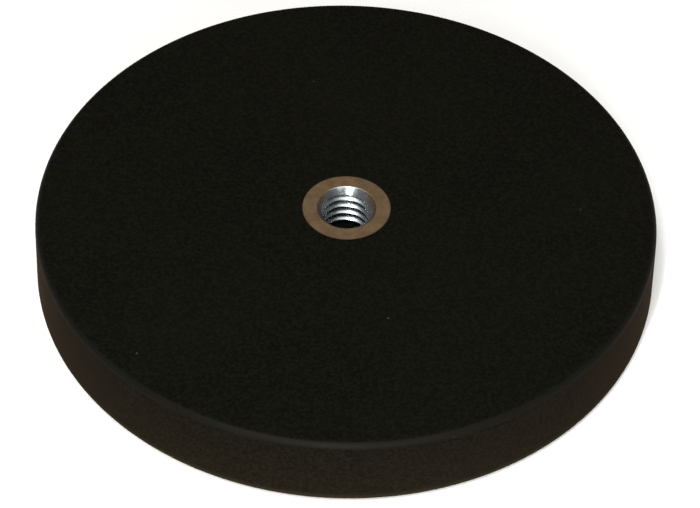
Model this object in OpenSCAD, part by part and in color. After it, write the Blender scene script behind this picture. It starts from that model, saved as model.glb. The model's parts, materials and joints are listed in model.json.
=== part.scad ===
// Rubber-coated holding magnet, 66 mm across, with a flush threaded bush in its middle.
// A steel back plate carries two rings of small disc magnets and the flanged bush, and a
// black rubber jacket is moulded round all of them. The magnets pull downwards, through the
// thin rubber under them, and the rope eye or hook that lifts the magnet screws in from above.
// Millimetres. The origin is the centre of the flat holding face, and +Z runs up the thread.

/* [Rubber jacket] */
// Diameter at the widest point, just above the holding face
jacket_d = 66; // [65:1:80]
// Height from the holding face to the top face
jacket_h = 8.5; // [8:0.25:12]
// How much the wall leans in from bottom to top on each side, so that it leaves its mould
wall_draft = 0.2; // [0:0.05:0.5]
// Rounding of the rim round the top face
top_edge_r = 0.8; // [0.2:0.1:1.2]
// Rounding of the rim round the holding face
bottom_edge_r = 1; // [0.2:0.1:1.2]
// Rubber between the magnets and what they hold
under_skin = 1; // [0.6:0.1:1.5]

/* [Steel back plate] */
// Diameter of the plate
plate_d = 60; // [60:0.5:62]
// Thickness of the plate
plate_h = 2.5; // [2:0.25:3.5]
// Bevel on the plate's edges
plate_bevel = 0.3; // [0.1:0.1:0.6]

/* [Magnets] */
// Diameter of one disc magnet
magnet_d = 10; // [8:0.5:10]
// Thickness of one disc magnet
magnet_h = 3; // [2.5:0.25:3.5]
// Bevel on the magnets' edges
magnet_bevel = 0.3; // [0.1:0.1:0.5]
// Number of magnets in the outer ring
outer_count = 12; // [6:1:14]
// Radius of the circle through the middles of the outer magnets
outer_ring_r = 24.5; // [23.5:0.25:24.75]
// Number of magnets in the inner ring
inner_count = 6; // [3:1:6]
// Radius of the circle through the middles of the inner magnets
inner_ring_r = 12.25; // [11.75:0.25:13.75]

/* [Threaded bush] */
// Diameter of the bush where it shows in the top face
bush_d = 9.4; // [8.4:0.2:10.4]
// Diameter of the flange that stops the bush from pulling up through the plate
flange_d = 12.5; // [11.5:0.25:13]
// Thickness of the flange
flange_h = 1.5; // [1:0.1:1.8]
// How far the flange is let into the underside of the plate
flange_seat = 1; // [0.4:0.1:1.4]
// Nominal size of the metric thread
thread_d = 6; // [5:1:6]
// Pitch of the thread
thread_pitch = 1; // [0.8:0.1:1]

/* [Hidden] */
$fn = 120;

// Height of the magnets' tops, which is the plate's underside
plate_z = under_skin + magnet_h;
// Height of the flange's top, which bears on the floor of its seat in the plate
seat_z = plate_z + flange_seat;
// Height of the bush's lower end, which is also the rubber floor of the threaded hole
bush_z = seat_z - flange_h;

// Crest and root radii of the thread in the bush, for a 60 degree metric profile
thread_root_r = thread_d / 2;
thread_crest_r = thread_root_r - 0.5413 * thread_pitch;
// Width of a groove at the crests and at its root
groove_mouth_w = 3 / 4 * thread_pitch;
groove_root_w = thread_pitch / 8;
// Radius of the hole's mouth, and the depth of the 45 degree bevel below it
mouth_r = 1.05 * thread_root_r;
mouth_bevel = mouth_r - thread_crest_r;
// Plain wall between the mouth's bevel and the first groove
first_land = thread_pitch / 5;
// Depth of the hole, and the number of whole grooves that fit in it
hole_depth = jacket_h - bush_z;
groove_count = floor((hole_depth - mouth_bevel - first_land) / thread_pitch);
// Small bevel round the outside of the bush's flange
flange_bevel = 0.2;
// How far a cutting shape runs past the surface that it opens
cut_past = 1;

// Names of the magnets: two digits in the outer ring, and one in the inner ring
function outer_name(i) = str("outer_magnet_", i < 9 ? "0" : "", i + 1);
function inner_name(i) = str("inner_magnet_", i + 1);
outer_names = [for (i = [0 : outer_count - 1]) outer_name(i)];
inner_names = [for (i = [0 : inner_count - 1]) inner_name(i)];

rubber_colour = [0.10, 0.10, 0.085];
plate_colour = [0.56, 0.58, 0.60];
bush_colour = [0.56, 0.48, 0.34];
north_colour = [0.80, 0.79, 0.75];
south_colour = [0.70, 0.69, 0.66];

// Direction of the line that touches two circles on their right-hand side
function tangent_angle(low, low_r, high, high_r) =
    let (line = high - low)
    atan2(line.y, line.x) - acos((low_r - high_r) / norm(line));

// Point on a circle in a given direction from its centre
function on_circle(centre, r, angle) = centre + r * [cos(angle), sin(angle)];

// Half section of the jacket: flat faces, a slightly leaning wall and a round at each rim
module jacket_section() {
    low = [jacket_d / 2 - bottom_edge_r, bottom_edge_r];
    high = [jacket_d / 2 - wall_draft - top_edge_r, jacket_h - top_edge_r];
    wall = tangent_angle(low, bottom_edge_r, high, top_edge_r);
    polygon([
        [0, 0],
        [low.x, 0],
        on_circle(low, bottom_edge_r, wall),
        on_circle(high, top_edge_r, wall),
        [high.x, jacket_h],
        [0, jacket_h]
    ]);
    translate(low) circle(r = bottom_edge_r);
    translate(high) circle(r = top_edge_r);
}

// Disc with both edges bevelled, standing on z = 0
module bevelled_disc(d, h, bevel) {
    rotate_extrude()
        polygon([
            [0, 0],
            [d / 2 - bevel, 0],
            [d / 2, bevel],
            [d / 2, h - bevel],
            [d / 2 - bevel, h],
            [0, h]
        ]);
}

module magnet_body() {
    bevelled_disc(magnet_d, magnet_h, magnet_bevel);
}

// Shape of the jacket's room for one magnet, which opens into the room for the plate
module magnet_room() {
    magnet_body();
    cylinder(r = magnet_d / 2 - magnet_bevel, h = magnet_h + cut_past);
}

// Puts its children at one place of a ring of magnets
module at_ring(i, count, ring_r) {
    rotate([0, 0, i * 360 / count])
        translate([ring_r, 0, under_skin])
            children();
}

// Outside of the bush as half-section points, from its lower end up to its top face
function bush_outline() = [
    [flange_d / 2 - flange_bevel, bush_z],
    [flange_d / 2, bush_z + flange_bevel],
    [flange_d / 2, seat_z],
    [bush_d / 2, seat_z],
    [bush_d / 2, jacket_h]
];

// One groove of the thread as half-section points, from its upper edge down to its lower edge
function groove(i) =
    let (top = jacket_h - mouth_bevel - first_land - i * thread_pitch)
    let (flank_h = (groove_mouth_w - groove_root_w) / 2)
    [
        [thread_crest_r, top],
        [thread_root_r, top - flank_h],
        [thread_root_r, top - flank_h - groove_root_w],
        [thread_crest_r, top - groove_mouth_w]
    ];

// Threaded hole as half-section points, from its mouth down to the bush's lower end
function bore_outline() = concat(
    [[mouth_r, jacket_h], [thread_crest_r, jacket_h - mouth_bevel]],
    [for (i = [0 : groove_count - 1]) each groove(i)],
    [[thread_crest_r, bush_z]]
);

module rubber_cover() {
    color(rubber_colour)
        difference() {
            rotate_extrude() jacket_section();
            // Room for the bush, which comes out flush with the top face
            rotate_extrude()
                polygon(concat(
                    [[0, bush_z]],
                    bush_outline(),
                    [[bush_d / 2, jacket_h + cut_past], [0, jacket_h + cut_past]]
                ));
            // Room for the plate
            translate([0, 0, plate_z]) bevelled_disc(plate_d, plate_h, plate_bevel);
            // Room for the magnets
            for (i = [0 : outer_count - 1]) at_ring(i, outer_count, outer_ring_r) magnet_room();
            for (i = [0 : inner_count - 1]) at_ring(i, inner_count, inner_ring_r) magnet_room();
        }
}

module steel_plate() {
    color(plate_colour)
        difference() {
            translate([0, 0, plate_z]) bevelled_disc(plate_d, plate_h, plate_bevel);
            // Hole for the bush's body
            translate([0, 0, plate_z - cut_past])
                cylinder(d = bush_d, h = plate_h + 2 * cut_past);
            // Seat for the bush's flange
            translate([0, 0, plate_z - cut_past])
                cylinder(d = flange_d, h = flange_seat + cut_past);
        }
}

module threaded_bush() {
    color(bush_colour)
        rotate_extrude()
            polygon(concat(bush_outline(), bore_outline()));
}

// The magnets stand with their poles turned alternately up and down
module outer_magnet(i) {
    color(i % 2 == 0 ? north_colour : south_colour)
        at_ring(i, outer_count, outer_ring_r)
            magnet_body();
}

module inner_magnet(i) {
    color(i % 2 == 0 ? south_colour : north_colour)
        at_ring(i, inner_count, inner_ring_r)
            magnet_body();
}

rubber_cover();
steel_plate();
threaded_bush();
for (i = [0 : outer_count - 1])
    outer_magnet(i);
for (i = [0 : inner_count - 1])
    inner_magnet(i);
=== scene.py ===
# Looks of the rubber-coated holding magnet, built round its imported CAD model.
# Metres, in the CAD frame: z = 0 is the holding face and +Z runs up the thread.
import json
import math

import bmesh
import bpy
from mathutils import Matrix, Vector, noise


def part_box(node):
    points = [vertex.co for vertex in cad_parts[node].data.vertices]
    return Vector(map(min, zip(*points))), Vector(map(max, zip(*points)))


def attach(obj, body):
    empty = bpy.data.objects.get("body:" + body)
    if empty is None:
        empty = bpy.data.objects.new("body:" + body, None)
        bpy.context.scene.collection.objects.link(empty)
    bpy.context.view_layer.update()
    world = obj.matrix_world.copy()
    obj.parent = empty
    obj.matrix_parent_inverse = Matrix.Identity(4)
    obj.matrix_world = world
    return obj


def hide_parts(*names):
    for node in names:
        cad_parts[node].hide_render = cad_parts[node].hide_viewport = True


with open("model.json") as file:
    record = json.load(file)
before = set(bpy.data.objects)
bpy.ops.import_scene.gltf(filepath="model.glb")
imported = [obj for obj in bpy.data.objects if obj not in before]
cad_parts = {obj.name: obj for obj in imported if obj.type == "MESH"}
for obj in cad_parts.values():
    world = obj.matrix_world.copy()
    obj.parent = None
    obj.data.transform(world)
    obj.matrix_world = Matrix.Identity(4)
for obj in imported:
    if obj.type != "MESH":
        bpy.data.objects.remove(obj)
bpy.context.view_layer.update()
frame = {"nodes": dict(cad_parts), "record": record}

MM = 0.001
FULL_TURN = 2 * math.pi

# ---------------------------------------------------------------- places read from the frame

jacket_low, jacket_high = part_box("rubber_cover")
bush_low, bush_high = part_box("threaded_bush")
plate_low, plate_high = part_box("steel_plate")
magnet_names = sorted(name for name in frame["nodes"] if "magnet" in name)
magnet_low, magnet_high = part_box(magnet_names[0])

TOP = jacket_high.z
JACKET_R = jacket_high.x
FLANGE_R = bush_high.x
BUSH_FLOOR = bush_low.z
PLATE_R = plate_high.x
MAGNET_R = (magnet_high.y - magnet_low.y) / 2

thread_mount = next(m for m in frame["record"]["mounts"] if m["name"] == "bush_thread")
THREAD_CREST_R = thread_mount["dims"]["r_mm"] * MM

# ---------------------------------------------------------------- sizes

# Rubber jacket
TOP_ROUND = 0.8 * MM
BOTTOM_ROUND = 1.0 * MM
WALL_DRAFT = 0.2 * MM
# The rubber dips a hair where it meets the bush.
BUSH_DIP = 0.05 * MM
BUSH_DIP_W = 0.30 * MM
# Moulded faces are never quite flat.
FACE_WAVE = 0.012 * MM
FACE_WAVE_LENGTH = 9 * MM
# The waves die away over this distance towards a rim or the bush.
WAVE_FADE = 2 * MM
# How near to a face's height a vertex has to be to lie on it
ON_FACE = 0.001 * MM
# The thin skin under the magnets has shrunk a little between them.
SHRINK = 0.04 * MM
SHRINK_W = 1.2 * MM

# Steel plate and magnets
PLATE_BEVEL = 0.3 * MM
MAGNET_BEVEL = 0.3 * MM

# Threaded bush
BUSH_R = 4.7 * MM
BUSH_EDGE = 0.06 * MM
FLANGE_H = 1.5 * MM
FLANGE_BEVEL = 0.2 * MM
MOUTH_R = 3.15 * MM
MOUTH_EDGE = 0.05 * MM
THREAD_PITCH = 1.0 * MM
THREAD_DEPTH = 0.5413 * THREAD_PITCH
# Widths of the flats at the thread's crest and root, and of the rounding between flats and flanks
CREST_FLAT = 1 / 4
ROOT_FLAT = 1 / 8
THREAD_SOFTNESS = 0.035
THREAD_SAMPLES = 9
# Depth of a crest's middle below the top face on the +Y side, in pitches
CREST_DEPTH_AT_BACK = 0.5
# Turned rings on the bush's face
TURNING_STEP = 0.11 * MM
TURNING_DEPTH = 0.004 * MM

# Fineness of the meshes
JACKET_SEGMENTS = 288
BUSH_SEGMENTS = 216
MAGNET_SEGMENTS = 64
ROUND_STEPS = 14
FACE_STEP = 0.6 * MM
# Vertices closer together than this are one vertex.
WELD = 0.0005 * MM
# Edges that bend by more than this are shaded as sharp ones.
JACKET_SHARP = math.radians(30)
BUSH_SHARP = math.radians(40)

# ---------------------------------------------------------------- camera

CAMERA_LENS_MM = 142.5
CAMERA_DISTANCE = 288 * MM
CAMERA_ELEVATION = math.radians(46.2)
CAMERA_ROLL = math.radians(1.51)
CAMERA_AIM = Vector((0.50 * MM, -6.83 * MM, TOP))


def make_camera():
    """Camera in front of the object, looking along +Y and down, and rolled a little."""
    right = Vector((1.0, 0.0, 0.0))
    up = Vector((0.0, math.sin(CAMERA_ELEVATION), math.cos(CAMERA_ELEVATION)))
    back = right.cross(up)
    turn = Matrix((right, up, back)).transposed().to_4x4()
    data = bpy.data.cameras.new("camera")
    data.lens = CAMERA_LENS_MM
    data.clip_start = 10 * MM
    camera = bpy.data.objects.new("camera", data)
    place = Matrix.Translation(CAMERA_AIM + CAMERA_DISTANCE * back)
    camera.matrix_world = place @ turn @ Matrix.Rotation(CAMERA_ROLL, 4, "Z")
    bpy.context.scene.collection.objects.link(camera)
    bpy.context.scene.camera = camera


# ---------------------------------------------------------------- mesh tools


def add_ring(bm, radius, height, count, centre=(0.0, 0.0)):
    """A level circle of new vertices, counter-clockwise from +X."""
    ring = []
    for k in range(count):
        angle = FULL_TURN * k / count
        x = centre[0] + radius * math.cos(angle)
        y = centre[1] + radius * math.sin(angle)
        ring.append(bm.verts.new((x, y, height)))
    return ring


def bridge(bm, first, second):
    """A band of faces between two circles that have the same number of vertices."""
    count = len(first)
    for k in range(count):
        after = (k + 1) % count
        bm.faces.new((first[k], first[after], second[after], second[k]))


def add_lathe(bm, profile, count, centre=(0.0, 0.0)):
    """Circles through the half-section points, bridged in order. Returns the circles."""
    rings = [add_ring(bm, radius, height, count, centre) for radius, height in profile]
    for first, second in zip(rings, rings[1:]):
        bridge(bm, first, second)
    return rings


def close_ring(bm, ring):
    """A fan of faces from a circle to a new vertex in its middle."""
    count = len(ring)
    middle = sum((v.co for v in ring), Vector()) / count
    tip = bm.verts.new(middle)
    for k in range(count):
        bm.faces.new((ring[k], ring[(k + 1) % count], tip))


def edges_round(bm, ring):
    """The edges that run round a circle of vertices."""
    count = len(ring)
    return [bm.edges.get((ring[k], ring[(k + 1) % count])) for k in range(count)]


def arc(centre, radius, start, end, steps):
    """Half-section points along a round. The angles are in radians, from level outwards."""
    points = []
    for k in range(steps + 1):
        angle = start + (end - start) * k / steps
        points.append((centre[0] + radius * math.cos(angle), centre[1] + radius * math.sin(angle)))
    return points


def between(start, end, step):
    """Evenly spaced values about a step apart, without the start and the end themselves."""
    count = max(1, round(abs(end - start) / step))
    return [start + (end - start) * k / count for k in range(1, count)]


def smooth_step(x):
    """0 below 0, 1 above 1, and an S-curve in between."""
    x = min(1.0, max(0.0, x))
    return x * x * (3 - 2 * x)


def shade_by_angle(mesh, sharp_angle):
    """Smooth shading, broken at edges that bend more sharply than an angle."""
    mesh.shade_smooth()
    mesh.set_sharp_from_angle(angle=sharp_angle)


def to_object(bm, name, sharp_angle):
    """Turns a bmesh into an object that shades smooth but for its sharp edges."""
    bmesh.ops.recalc_face_normals(bm, faces=bm.faces)
    mesh = bpy.data.meshes.new(name)
    bm.to_mesh(mesh)
    bm.free()
    shade_by_angle(mesh, sharp_angle)
    piece = bpy.data.objects.new(name, mesh)
    bpy.context.scene.collection.objects.link(piece)
    return piece


# ---------------------------------------------------------------- rubber jacket


def jacket_outline():
    """Half section of the jacket's outside: from the bush outwards, down the wall and under."""
    high = (JACKET_R - WALL_DRAFT - TOP_ROUND, TOP - TOP_ROUND)
    low = (JACKET_R - BOTTOM_ROUND, BOTTOM_ROUND)
    out, down = high[0] - low[0], high[1] - low[1]
    lean = math.asin((BOTTOM_ROUND - TOP_ROUND) / math.hypot(out, down)) - math.atan2(out, down)
    upper = arc(high, TOP_ROUND, math.pi / 2, lean, ROUND_STEPS)
    lower = arc(low, BOTTOM_ROUND, lean, -math.pi / 2, ROUND_STEPS)
    outline = [
        (BUSH_R, TOP - BUSH_DIP),
        (BUSH_R + BUSH_DIP_W / 3, TOP - BUSH_DIP / 2),
        (BUSH_R + BUSH_DIP_W * 2 / 3, TOP - BUSH_DIP / 8),
        (BUSH_R + BUSH_DIP_W, TOP),
    ]
    outline += [(r, TOP) for r in between(BUSH_R + BUSH_DIP_W, high[0], FACE_STEP)]
    outline += upper
    wall_start, wall_end = upper[-1], lower[0]
    for z in between(wall_start[1], wall_end[1], FACE_STEP):
        share = (wall_start[1] - z) / (wall_start[1] - wall_end[1])
        outline.append((wall_start[0] + (wall_end[0] - wall_start[0]) * share, z))
    outline += lower
    outline += [(r, 0.0) for r in between(low[0], 0.0, FACE_STEP)]
    return outline


def magnet_centres():
    """Where the magnets stand in plan."""
    corners = [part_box(name) for name in magnet_names]
    return [((low.x + high.x) / 2, (low.y + high.y) / 2) for low, high in corners]


def wave_faces(bm, centres):
    """Takes the top and the holding face off dead flat, always inwards."""
    flat_r = JACKET_R - WALL_DRAFT - TOP_ROUND
    for v in bm.verts:
        r = math.hypot(v.co.x, v.co.y)
        wave = FACE_WAVE * (1 + noise.noise(v.co / FACE_WAVE_LENGTH))
        rim_fade = smooth_step((flat_r - r) / WAVE_FADE)
        if v.co.z > TOP - ON_FACE:
            v.co.z -= wave * rim_fade * smooth_step((r - BUSH_R - BUSH_DIP_W) / WAVE_FADE)
        elif v.co.z < ON_FACE:
            gap = min(math.hypot(v.co.x - x, v.co.y - y) for x, y in centres) - MAGNET_R
            v.co.z += (wave + SHRINK * smooth_step(gap / SHRINK_W)) * rim_fade


def add_rooms(bm, hole, centres):
    """The inside of the jacket: rooms for the bush, the plate and the magnets."""
    plate_room = add_lathe(bm, [
        (BUSH_R, plate_high.z),
        (PLATE_R - PLATE_BEVEL, plate_high.z),
        (PLATE_R, plate_high.z - PLATE_BEVEL),
        (PLATE_R, plate_low.z + PLATE_BEVEL),
        (PLATE_R - PLATE_BEVEL, plate_low.z),
    ], JACKET_SEGMENTS)
    bridge(bm, hole, plate_room[0])
    flange_room = add_lathe(bm, [
        (FLANGE_R, plate_low.z),
        (FLANGE_R, BUSH_FLOOR + FLANGE_BEVEL),
        (FLANGE_R - FLANGE_BEVEL, BUSH_FLOOR),
    ], JACKET_SEGMENTS)
    close_ring(bm, flange_room[-1])
    openings = edges_round(bm, plate_room[-1]) + edges_round(bm, flange_room[0])
    for centre in centres:
        magnet_room = add_lathe(bm, [
            (MAGNET_R - MAGNET_BEVEL, magnet_high.z),
            (MAGNET_R, magnet_high.z - MAGNET_BEVEL),
            (MAGNET_R, magnet_low.z + MAGNET_BEVEL),
            (MAGNET_R - MAGNET_BEVEL, magnet_low.z),
        ], MAGNET_SEGMENTS, centre)
        close_ring(bm, magnet_room[-1])
        openings += edges_round(bm, magnet_room[0])
    # The level face between all these openings
    bmesh.ops.triangle_fill(bm, use_beauty=True, edges=openings, normal=(0.0, 0.0, 1.0))


def make_jacket():
    """The moulded jacket, with its outside and its rooms in one closed skin."""
    centres = magnet_centres()
    bm = bmesh.new()
    rings = add_lathe(bm, jacket_outline(), JACKET_SEGMENTS)
    close_ring(bm, rings[-1])
    wave_faces(bm, centres)
    add_rooms(bm, rings[0], centres)
    jacket = to_object(bm, "rubber_jacket", JACKET_SHARP)
    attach(jacket, "root")
    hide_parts("rubber_cover")
    return jacket


# ---------------------------------------------------------------- threaded bush


def thread_radius(phase):
    """Radius of a 60 degree thread in a hole, where phase 0 is the middle of a crest."""
    away = abs((phase + 0.5) % 1.0 - 0.5)
    flank = (away - CREST_FLAT / 2) / (0.5 - ROOT_FLAT / 2 - CREST_FLAT / 2)
    return THREAD_CREST_R + THREAD_DEPTH * min(1.0, max(0.0, flank))


def soft_thread_radius(phase):
    """The same thread with its corners slightly rounded."""
    last = THREAD_SAMPLES - 1
    offsets = [THREAD_SOFTNESS * (2 * k / last - 1) for k in range(THREAD_SAMPLES)]
    return sum(thread_radius(phase + offset) for offset in offsets) / THREAD_SAMPLES


def thread_phases():
    """Places along one pitch where the thread's outline bends, in rising order."""
    corners = (-CREST_FLAT / 2, CREST_FLAT / 2, 0.5 - ROOT_FLAT / 2, 0.5 + ROOT_FLAT / 2)
    steps = (-1.0, -0.5, 0.0, 0.5, 1.0)
    return [corner + THREAD_SOFTNESS * step for corner in corners for step in steps]


def make_screw():
    """A right-handed screw that fills the threaded hole and stands past both its ends."""
    phases = thread_phases()
    per_turn = len(phases)
    turns_below = math.ceil((TOP - BUSH_FLOOR) / THREAD_PITCH) + 1
    turns = turns_below + 2
    # On the +Y side, a quarter turn from +X, a crest's middle is at this height
    crest_z = TOP - CREST_DEPTH_AT_BACK * THREAD_PITCH
    foot_z = crest_z - (turns_below + 1 / 4) * THREAD_PITCH
    bm = bmesh.new()
    columns = []
    for k in range(BUSH_SEGMENTS):
        share = k / BUSH_SEGMENTS
        angle = FULL_TURN * share
        column = []
        for row in range(turns * per_turn + 1):
            turn, place = divmod(row, per_turn)
            r = soft_thread_radius(phases[place])
            z = foot_z + (turn + phases[place] + share) * THREAD_PITCH
            column.append(bm.verts.new((r * math.cos(angle), r * math.sin(angle), z)))
        columns.append(column)
    for k, column in enumerate(columns):
        # After a full turn the rows meet the rows one pitch higher up
        beside = columns[k + 1] if k + 1 < BUSH_SEGMENTS else columns[0][per_turn:]
        for row in range(min(len(column), len(beside)) - 1):
            bm.faces.new((column[row], beside[row], beside[row + 1], column[row + 1]))
    middle_z = (TOP + BUSH_FLOOR) / 2
    tips = [bm.verts.new((0.0, 0.0, middle_z + side * (TOP - BUSH_FLOOR))) for side in (-1, 1)]
    for edge in [edge for edge in bm.edges if edge.is_boundary]:
        upper = (edge.verts[0].co.z + edge.verts[1].co.z) / 2 > middle_z
        bm.faces.new((*edge.verts, tips[upper]))
    return to_object(bm, "screw_cutter", BUSH_SHARP)


def face_height(radius):
    """Height of the bush's turned face, with its fine rings."""
    ring = 0.5 - 0.5 * math.cos(FULL_TURN * radius / TURNING_STEP)
    return TOP - TURNING_DEPTH * ring


def bush_outline():
    """Half section of the bush before its thread: its outside, turned face and countersink."""
    seat_z = BUSH_FLOOR + FLANGE_H
    outline = [
        (FLANGE_R - FLANGE_BEVEL, BUSH_FLOOR),
        (FLANGE_R, BUSH_FLOOR + FLANGE_BEVEL),
        (FLANGE_R, seat_z),
        (BUSH_R, seat_z),
        (BUSH_R, TOP - BUSH_EDGE),
        (BUSH_R - BUSH_EDGE * 0.3, TOP - BUSH_EDGE * 0.3),
        (BUSH_R - BUSH_EDGE, TOP),
    ]
    for r in between(BUSH_R - BUSH_EDGE, MOUTH_R + MOUTH_EDGE, TURNING_STEP / 4):
        outline.append((r, face_height(r)))
    outline += [
        (MOUTH_R + MOUTH_EDGE, TOP - TURNING_DEPTH),
        (MOUTH_R, TOP - MOUTH_EDGE / 3),
        (MOUTH_R - MOUTH_EDGE, TOP - MOUTH_EDGE),
    ]
    # The cone runs on well inside the thread's crests
    outline.append((THREAD_CREST_R / 2, TOP - MOUTH_R + THREAD_CREST_R / 2))
    return outline


def tidy_mesh(mesh):
    """Welds the near-double vertices that a cut leaves, and drops the empty faces between them."""
    bm = bmesh.new()
    bm.from_mesh(mesh)
    bmesh.ops.remove_doubles(bm, verts=bm.verts, dist=WELD)
    bmesh.ops.dissolve_degenerate(bm, dist=WELD, edges=bm.edges)
    bmesh.ops.triangulate(bm, faces=bm.faces, quad_method="BEAUTY", ngon_method="BEAUTY")
    bmesh.ops.dissolve_degenerate(bm, dist=WELD, edges=bm.edges)
    bm.to_mesh(mesh)
    bm.free()


def cut(piece, cutter):
    """Takes one closed object out of another and deletes it."""
    modifier = piece.modifiers.new("cut", "BOOLEAN")
    modifier.operation = "DIFFERENCE"
    modifier.solver = "EXACT"
    modifier.object = cutter
    graph = bpy.context.evaluated_depsgraph_get()
    result = bpy.data.meshes.new_from_object(piece.evaluated_get(graph))
    piece.modifiers.clear()
    piece.data = result
    bpy.data.objects.remove(cutter)
    tidy_mesh(piece.data)


def make_bush():
    """The flanged bush, turned first and then cut with the screw."""
    bm = bmesh.new()
    rings = add_lathe(bm, bush_outline(), BUSH_SEGMENTS)
    close_ring(bm, rings[0])
    close_ring(bm, rings[-1])
    bush = to_object(bm, "flanged_bush", BUSH_SHARP)
    cut(bush, make_screw())
    shade_by_angle(bush.data, BUSH_SHARP)
    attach(bush, "root")
    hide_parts("threaded_bush")
    return bush


# ---------------------------------------------------------------- material tools


class Look:
    """A material and short ways to wire its nodes."""

    def __init__(self, name):
        self.material = bpy.data.materials.new(name)
        self.material.use_nodes = True
        self.tree = self.material.node_tree
        self.shader = self.tree.nodes["Principled BSDF"]
        self.place = self.node("ShaderNodeTexCoord").outputs["Object"]

    def node(self, kind, **settings):
        made = self.tree.nodes.new(kind)
        for key, value in settings.items():
            setattr(made, key, value)
        return made

    def wire(self, value, socket):
        """Links a node's output to a socket, or sets the socket to a plain number."""
        if isinstance(value, bpy.types.NodeSocket):
            self.tree.links.new(value, socket)
        else:
            socket.default_value = value

    def math(self, operation, first, second=0.0):
        made = self.node("ShaderNodeMath", operation=operation)
        self.wire(first, made.inputs[0])
        self.wire(second, made.inputs[1])
        return made.outputs[0]

    def fit(self, value, low, high, new_low=0.0, new_high=1.0):
        """Stretches the range low to high onto another range, smoothly and without overshoot."""
        made = self.node("ShaderNodeMapRange", interpolation_type="SMOOTHSTEP")
        self.wire(value, made.inputs["Value"])
        made.inputs["From Min"].default_value = low
        made.inputs["From Max"].default_value = high
        made.inputs["To Min"].default_value = new_low
        made.inputs["To Max"].default_value = new_high
        return made.outputs["Result"]

    def noise(self, size, detail=3.0, stretch=None):
        """Soft noise about 0.5, with patches of a given size in metres."""
        place = self.place
        if stretch:
            mapping = self.node("ShaderNodeMapping")
            mapping.inputs["Scale"].default_value = stretch
            self.wire(place, mapping.inputs["Vector"])
            place = mapping.outputs["Vector"]
        made = self.node("ShaderNodeTexNoise")
        self.wire(place, made.inputs["Vector"])
        made.inputs["Scale"].default_value = 1 / size
        made.inputs["Detail"].default_value = detail
        return made.outputs["Fac"]

    def cells(self, size):
        """Distance from the nearest of many scattered points, as a share of their spacing."""
        made = self.node("ShaderNodeTexVoronoi")
        self.wire(self.place, made.inputs["Vector"])
        made.inputs["Scale"].default_value = 1 / size
        return made.outputs["Distance"]

    def mix(self, share, first, second):
        """Colour between two colours or sockets."""
        made = self.node("ShaderNodeMix", data_type="RGBA")
        self.wire(share, made.inputs["Factor"])
        for value, socket in ((first, made.inputs["A"]), (second, made.inputs["B"])):
            self.wire(value if isinstance(value, bpy.types.NodeSocket) else (*value, 1.0), socket)
        return made.outputs["Result"]

    def axis_distance(self):
        """Distance from the object's Z axis, and height, both in metres."""
        split = self.node("ShaderNodeSeparateXYZ")
        self.wire(self.place, split.inputs[0])
        x2 = self.math("MULTIPLY", split.outputs["X"], split.outputs["X"])
        y2 = self.math("MULTIPLY", split.outputs["Y"], split.outputs["Y"])
        return self.math("SQRT", self.math("ADD", x2, y2)), split.outputs["Z"]

    def bump(self, height, depth, under=None):
        """A normal from a height that runs from 0 to 1 over a depth in metres."""
        made = self.node("ShaderNodeBump")
        made.inputs["Distance"].default_value = depth
        self.wire(height, made.inputs["Height"])
        if under is not None:
            self.wire(under, made.inputs["Normal"])
        return made.outputs["Normal"]

    def set(self, **values):
        for name, value in values.items():
            self.wire(value, self.shader.inputs[name.replace("_", " ")])


# Colours are linear red, green and blue. A pair is the two ends of a slow drift.
RUBBER_FACE = ((0.0014, 0.0018, 0.0014), (0.0021, 0.0025, 0.0019))
RUBBER_FACE_GRAIN = (0.0052, 0.0053, 0.0038)
# The wall colours are the rubber's own with a painted warm reflection mixed in.
RUBBER_WALL_PAINTED_REFLECTION = ((0.0020, 0.0021, 0.0013), (0.0032, 0.0026, 0.0020))
RUBBER_WALL_GRAIN_PAINTED_REFLECTION = (0.0081, 0.0070, 0.0050)
# A painted highlight: the rounded top edge is painted lighter than the face.
RIM_RUB_AND_PAINTED_HIGHLIGHT = (0.0040, 0.0043, 0.0035)
# A painted warm reflection on the foot and lower wall.
FOOT_PAINTED_REFLECTION = (0.0260, 0.0200, 0.0120)
PALE_SPECK = (0.035, 0.034, 0.030)
GRAIN_SHARE = 0.8
# Tints have a fourth value, which is their opacity.
RUBBER_SHINE = (1.0, 0.78, 0.52, 1.0)
RUBBER_SHEEN = (1.0, 0.48, 0.10, 1.0)


def grained(look, broad, fine, drift, grain):
    """Rubber that drifts slowly between two colours, under a fine paler grain."""
    ground = look.mix(broad, *drift)
    return look.mix(look.fit(fine, 0.0, 1.0, 0.0, GRAIN_SHARE), ground, grain)


def rubbed_rim_and_painted_highlight(look, outside, height):
    """Where the rounded top edge is a little shinier from rubbing and carries a painted highlight."""
    start = look.fit(height, TOP - 0.02 * TOP_ROUND, TOP - 0.15 * TOP_ROUND)
    end = look.fit(height, TOP - 0.5 * TOP_ROUND, TOP - 0.9 * TOP_ROUND)
    rim = look.math("MULTIPLY", outside, look.math("SUBTRACT", start, end))
    patchy = look.fit(look.noise(5 * MM, detail=4.0), 0.3, 0.7, 0.75, 1.0)
    return look.math("MULTIPLY", rim, patchy)


def painted_foot_reflection(look, radius, height, on_wall):
    """A painted warm reflection on the rounded foot, and a little of it down the wall, growing towards
    the bottom.
    """
    on_foot = look.fit(radius, JACKET_R - BOTTOM_ROUND, JACKET_R - 0.4 * BOTTOM_ROUND)
    near_floor = look.fit(height, 1.7 * BOTTOM_ROUND, 0.2 * BOTTOM_ROUND)
    foot = look.math("MULTIPLY", on_foot, near_floor)
    down_wall = look.math("MULTIPLY", on_wall, look.fit(height, TOP, 0.0, 0.0, 0.12))
    return look.math("MAXIMUM", foot, down_wall)


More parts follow.
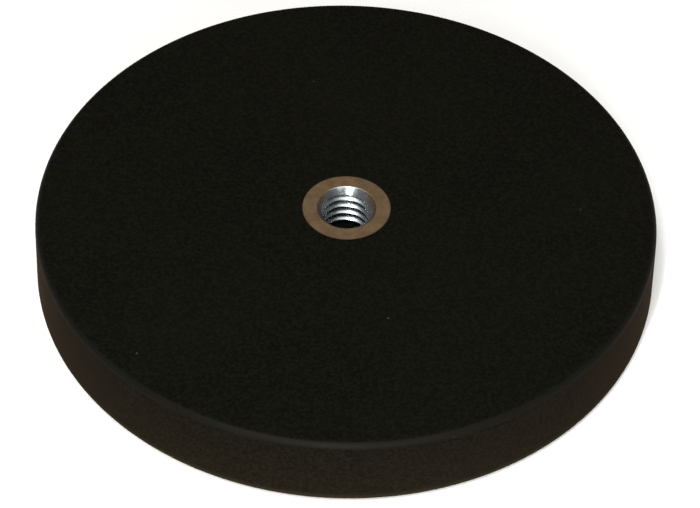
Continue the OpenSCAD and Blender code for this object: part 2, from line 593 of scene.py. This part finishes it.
def rubber_look():
    """Matt black moulded rubber: greenish black faces, a wall browner with painted warm reflection,
    painted highlight on the top edge, painted reflection on the foot, and a few pale specks.
    """
    look = Look("black_rubber")
    radius, height = look.axis_distance()
    outside = look.fit(radius, PLATE_R, PLATE_R + 1 * MM)
    past_edge = look.fit(height, TOP - 0.5 * TOP_ROUND, TOP - 1.5 * TOP_ROUND)
    on_wall = look.math("MULTIPLY", outside, past_edge)
    past_rim = look.fit(height, TOP - 0.6 * TOP_ROUND, TOP - 1.2 * TOP_ROUND)
    below_rim = look.math("MULTIPLY", outside, past_rim)
    rubbed_and_painted_highlight = rubbed_rim_and_painted_highlight(look, outside, height)
    broad = look.fit(look.noise(12 * MM), 0.3, 0.7)
    fine = look.fit(look.noise(0.32 * MM, detail=5.0), 0.25, 0.75)
    face = grained(look, broad, fine, RUBBER_FACE, RUBBER_FACE_GRAIN)
    # The wall's browner, lighter colour is partly a painted warm reflection.
    wall = grained(look, broad, fine, RUBBER_WALL_PAINTED_REFLECTION, RUBBER_WALL_GRAIN_PAINTED_REFLECTION)
    colour = look.mix(on_wall, face, wall)
    # Painted highlight along the rounded top edge
    colour = look.mix(rubbed_and_painted_highlight, colour, RIM_RUB_AND_PAINTED_HIGHLIGHT)
    # Painted warm reflection on the foot, growing down the wall
    colour = look.mix(painted_foot_reflection(look, radius, height, on_wall), colour, FOOT_PAINTED_REFLECTION)
    sparse = look.fit(look.noise(14 * MM, detail=1.0), 0.59, 0.65)
    speck = look.math("MULTIPLY", look.fit(look.cells(2.4 * MM), 0.05, 0.03), sparse)
    colour = look.mix(speck, colour, PALE_SPECK)
    moulded = look.fit(fine, 0.0, 1.0, 0.56, 0.64)
    roughness = look.math("ADD", moulded, look.math("MULTIPLY", below_rim, 0.38))
    pebble = look.bump(look.noise(1.1 * MM), 0.02 * MM)
    grain = look.bump(look.noise(0.28 * MM, detail=4.0), 0.014 * MM, pebble)
    look.set(
        Base_Color=colour,
        Roughness=roughness,
        Specular_IOR_Level=0.03,
        Specular_Tint=RUBBER_SHINE,
        Sheen_Weight=0.012,
        Sheen_Roughness=0.4,
        Sheen_Tint=RUBBER_SHEEN,
        Coat_Weight=look.math("MULTIPLY", rubbed_and_painted_highlight, 0.065),
        Coat_Roughness=0.5,
        Normal=grain,
    )
    return look.material


ZINC = ((0.30, 0.34, 0.36), (0.42, 0.45, 0.47))
# A painted brown reflection for the countersink's left and right sides
ZINC_PAINTED_BROWN_REFLECTION = (0.23, 0.16, 0.11)
TAN_FACE = ((0.163, 0.109, 0.061), (0.222, 0.150, 0.084))
TAN_EDGE = (0.085, 0.055, 0.032)


def side_painted_reflection(look, height):
    """A painted brown reflection on the countersink's two sides, which fades out down the cone."""
    split = look.node("ShaderNodeSeparateXYZ")
    look.wire(look.place, split.inputs[0])
    sideways = look.fit(look.math("ABSOLUTE", split.outputs["X"]), 1.4 * MM, 2.6 * MM)
    run_down = look.fit(height, TOP - 0.65 * MM, TOP - 0.30 * MM)
    return look.math("MULTIPLY", sideways, run_down)


def bush_look():
    """Zinc-plated steel, bright in the thread, with a satin tan face that has been turned."""
    look = Look("zinc_bush")
    radius, height = look.axis_distance()
    on_face = look.math(
        "MULTIPLY",
        look.fit(radius, MOUTH_R - 0.05 * MM, MOUTH_R + 0.05 * MM),
        look.fit(height, TOP - 0.15 * MM, TOP - 0.05 * MM),
    )
    stain = look.fit(look.noise(1.2 * MM, detail=5.0), 0.3, 0.7)
    painted_side_reflection = side_painted_reflection(look, height)
    # The countersink's left and right sides carry a painted brown reflection
    zinc = look.mix(painted_side_reflection, look.mix(stain, *ZINC), ZINC_PAINTED_BROWN_REFLECTION)
    # The tan face is darker along its outer edge
    near_edge = look.fit(radius, BUSH_R - 0.15 * MM, BUSH_R)
    tan = look.mix(near_edge, look.mix(stain, *TAN_FACE), TAN_EDGE)
    scuff = look.fit(look.noise(0.25 * MM, detail=6.0), 0.35, 0.65)
    in_thread = look.fit(scuff, 0.0, 1.0, 0.25, 0.30)
    # The countersink is smoother than the thread, but its sides, where the brown reflection is painted,
    # are rougher
    smoother = look.fit(height, TOP - 0.8 * MM, TOP - 0.6 * MM, 0.0, -0.07)
    in_hole = look.math("ADD", in_thread, smoother)
    in_hole = look.math("ADD", in_hole, look.math("MULTIPLY", painted_side_reflection, 0.2))
    satin = look.fit(scuff, 0.0, 1.0, 0.58, 0.66)
    roughness = look.node("ShaderNodeMix", data_type="FLOAT")
    look.wire(on_face, roughness.inputs["Factor"])
    look.wire(in_hole, roughness.inputs["A"])
    look.wire(satin, roughness.inputs["B"])
    look.set(
        Base_Color=look.mix(on_face, zinc, tan),
        Metallic=1.0,
        Roughness=roughness.outputs["Result"],
        Normal=look.bump(scuff, 0.0004 * MM),
    )
    return look.material


ROLLED_STEEL = ((0.50, 0.51, 0.52), (0.36, 0.355, 0.35))
ROLLING_LINE = (0.62, 0.63, 0.64)


def plate_look():
    """Rolled steel plate with faint rolling lines along X and darker stains."""
    look = Look("rolled_steel")
    lines = look.noise(0.3 * MM, detail=4.0, stretch=(0.02, 1.0, 1.0))
    stain = look.fit(look.noise(7 * MM, detail=5.0), 0.35, 0.7)
    colour = look.mix(stain, *ROLLED_STEEL)
    colour = look.mix(look.fit(lines, 0.3, 0.7, 0.0, 0.35), colour, ROLLING_LINE)
    look.set(
        Base_Color=colour,
        Metallic=1.0,
        Roughness=look.fit(stain, 0.0, 1.0, 0.34, 0.5),
        Normal=look.bump(lines, 0.01 * MM),
    )
    return look.material


NICKEL = ((0.66, 0.62, 0.56), (0.74, 0.71, 0.66))


def nickel_look():
    """Bright nickel plating with a soft orange-peel surface and fine handling scuffs."""
    look = Look("nickel_plating")
    peel = look.noise(0.9 * MM, detail=2.0)
    scuff = look.fit(look.noise(0.2 * MM, detail=6.0, stretch=(1.0, 0.25, 1.0)), 0.4, 0.7)
    look.set(
        Base_Color=look.mix(scuff, *NICKEL),
        Metallic=1.0,
        Roughness=look.fit(scuff, 0.0, 1.0, 0.14, 0.28),
        Normal=look.bump(peel, 0.006 * MM),
    )
    return look.material


PAPER = ((0.92, 0.92, 0.915), (0.95, 0.95, 0.945))


def floor_look():
    """Plain pale paper."""
    look = Look("pale_paper")
    fibre = look.noise(3 * MM, detail=4.0)
    look.set(
        Base_Color=look.mix(fibre, *PAPER),
        Roughness=0.9,
        Specular_IOR_Level=0.1,
    )
    return look.material


def give(piece, material):
    """Makes a material the only one of a piece."""
    piece.data.materials.clear()
    piece.data.materials.append(material)


# ---------------------------------------------------------------- floor and lights

FLOOR_HALF = 1.5
FLOOR_DROP = 0.05 * MM


def make_floor():
    """A plain flat floor, a hair below the holding face."""
    bm = bmesh.new()
    corners = ((-1, -1), (1, -1), (1, 1), (-1, 1))
    bm.faces.new([bm.verts.new((x * FLOOR_HALF, y * FLOOR_HALF, -FLOOR_DROP)) for x, y in corners])
    mesh = bpy.data.meshes.new("floor")
    bm.to_mesh(mesh)
    bm.free()
    floor = bpy.data.objects.new("floor", mesh)
    bpy.context.scene.collection.objects.link(floor)
    give(floor, floor_look())


def add_light(name, azimuth, elevation, distance, width, height, watts, colour):
    """A rectangle of soft light that faces the object. Directions are in degrees, lengths in metres."""
    a, e = math.radians(azimuth), math.radians(elevation)
    back = Vector((math.sin(a) * math.cos(e), -math.cos(a) * math.cos(e), math.sin(e)))
    data = bpy.data.lights.new(name, "AREA")
    data.shape = "RECTANGLE"
    data.size = width
    data.size_y = height
    data.energy = watts
    data.color = colour
    light = bpy.data.objects.new(name, data)
    light.location = distance * back
    light.rotation_mode = "QUATERNION"
    light.rotation_quaternion = back.to_track_quat("Z", "Y")
    bpy.context.scene.collection.objects.link(light)


def make_lights():
    """A narrow key for the streak in the thread, a low front light and a broad overhead one."""
    add_light(
        "key", azimuth=-13, elevation=57, distance=0.30,
        width=0.017, height=0.17, watts=0.53, colour=(1.0, 0.985, 0.96),
    )
    add_light(
        "front", azimuth=0, elevation=25, distance=0.40,
        width=0.20, height=0.11, watts=1.58, colour=(1.0, 0.98, 0.94),
    )
    add_light(
        "overhead", azimuth=0, elevation=82, distance=0.90,
        width=0.80, height=0.80, watts=5.20, colour=(1.0, 0.99, 0.97),
    )


WORLD_COLOUR = (1.0, 0.99, 0.97, 1.0)
WORLD_STRENGTH = 0.20


def make_world():
    """Even, faint light from all round."""
    world = bpy.data.worlds.new("studio")
    world.use_nodes = True
    background = world.node_tree.nodes["Background"]
    background.inputs["Color"].default_value = WORLD_COLOUR
    background.inputs["Strength"].default_value = WORLD_STRENGTH
    bpy.context.scene.world = world


# ---------------------------------------------------------------- the scene

bpy.context.scene.view_settings.view_transform = "Standard"
make_camera()
make_world()
make_floor()
make_lights()

give(make_jacket(), rubber_look())
give(make_bush(), bush_look())
give(frame["nodes"]["steel_plate"], plate_look())
nickel = nickel_look()
for name in magnet_names:
    give(frame["nodes"][name], nickel)
